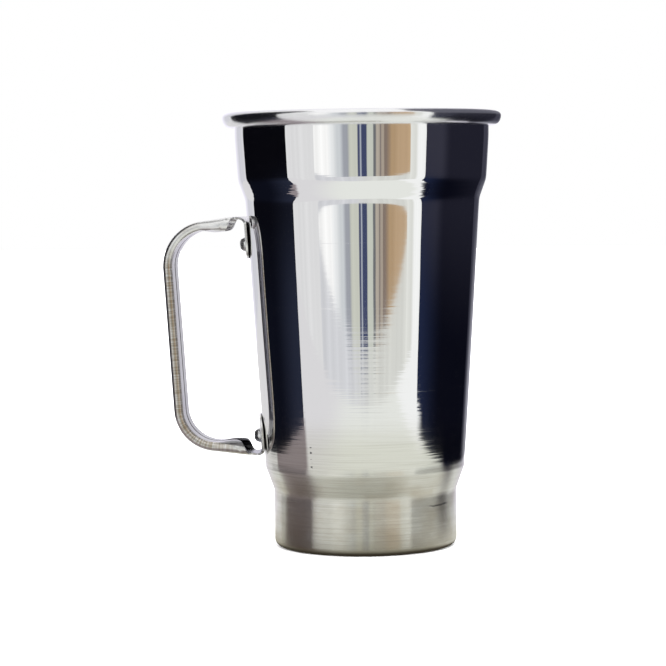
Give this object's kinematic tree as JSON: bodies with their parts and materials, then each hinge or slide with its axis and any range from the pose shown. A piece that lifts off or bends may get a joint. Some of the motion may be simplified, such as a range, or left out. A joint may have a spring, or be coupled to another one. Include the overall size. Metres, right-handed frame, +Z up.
{
  "type": "mixing cup",
  "caption": "Tapered spun aluminium mixing cup with a rolled rim, a stepped collar, a narrower foot and a riveted loop handle.",
  "frame": {"origin": "centre of the flat base, on the surface that the cup stands on and on the cup's axis", "axes": "+Z up along the cup's axis, -X towards the handle, the part is symmetric about the XZ plane"},
  "size_m": [0.1351, 0.1104, 0.1722],
  "materials": {
    "cup_aluminium": "mirror polished on the upper body, collar and rim, fading to satin with fine spinning lines below, tarnished at the lower step and foot",
    "handle_aluminium": "satin, drawn along the strip, with faint stains and small scratches",
    "rivet_aluminium": "dull satin with a darker ring where the head meets the tab"
  },
  "bodies": {
    "root": {"cup_body": "cup_aluminium", "handle": "handle_aluminium", "upper_rivet": "rivet_aluminium", "lower_rivet": "rivet_aluminium"}
  },
  "joints": []
}
